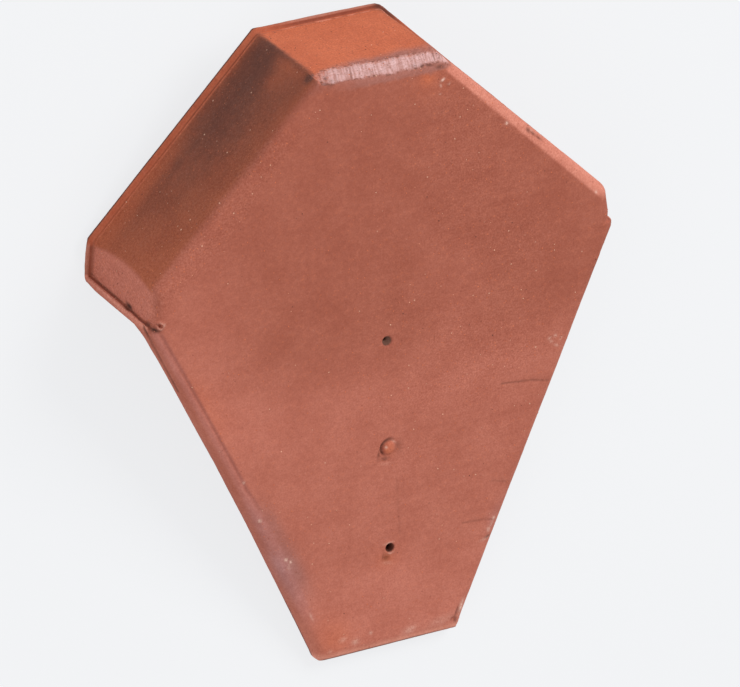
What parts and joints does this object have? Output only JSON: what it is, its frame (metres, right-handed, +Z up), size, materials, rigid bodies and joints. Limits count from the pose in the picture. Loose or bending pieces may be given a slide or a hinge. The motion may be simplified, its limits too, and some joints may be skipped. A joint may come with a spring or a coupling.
{
  "type": "clay ridge end roof tile",
  "caption": "Pressed clay tile that closes the end of an angular roof ridge: a coffin-shaped face plate with a turned-back rim over the ridge tile and a tapering tail nailed to the gable.",
  "frame": {"origin": "on the floor, under the middle of the tile's box, as it lies at rest on the lower ends of its rim and the foot of its tail", "axes": "+X across the face, +Y up the slope of the face from the tail's foot towards the top edge, +Z up"},
  "size_m": [0.3, 0.374, 0.1157],
  "materials": {
    "terracotta": "matt unglazed fired clay"
  },
  "bodies": {
    "root": {"tile": "terracotta"}
  },
  "joints": []
}
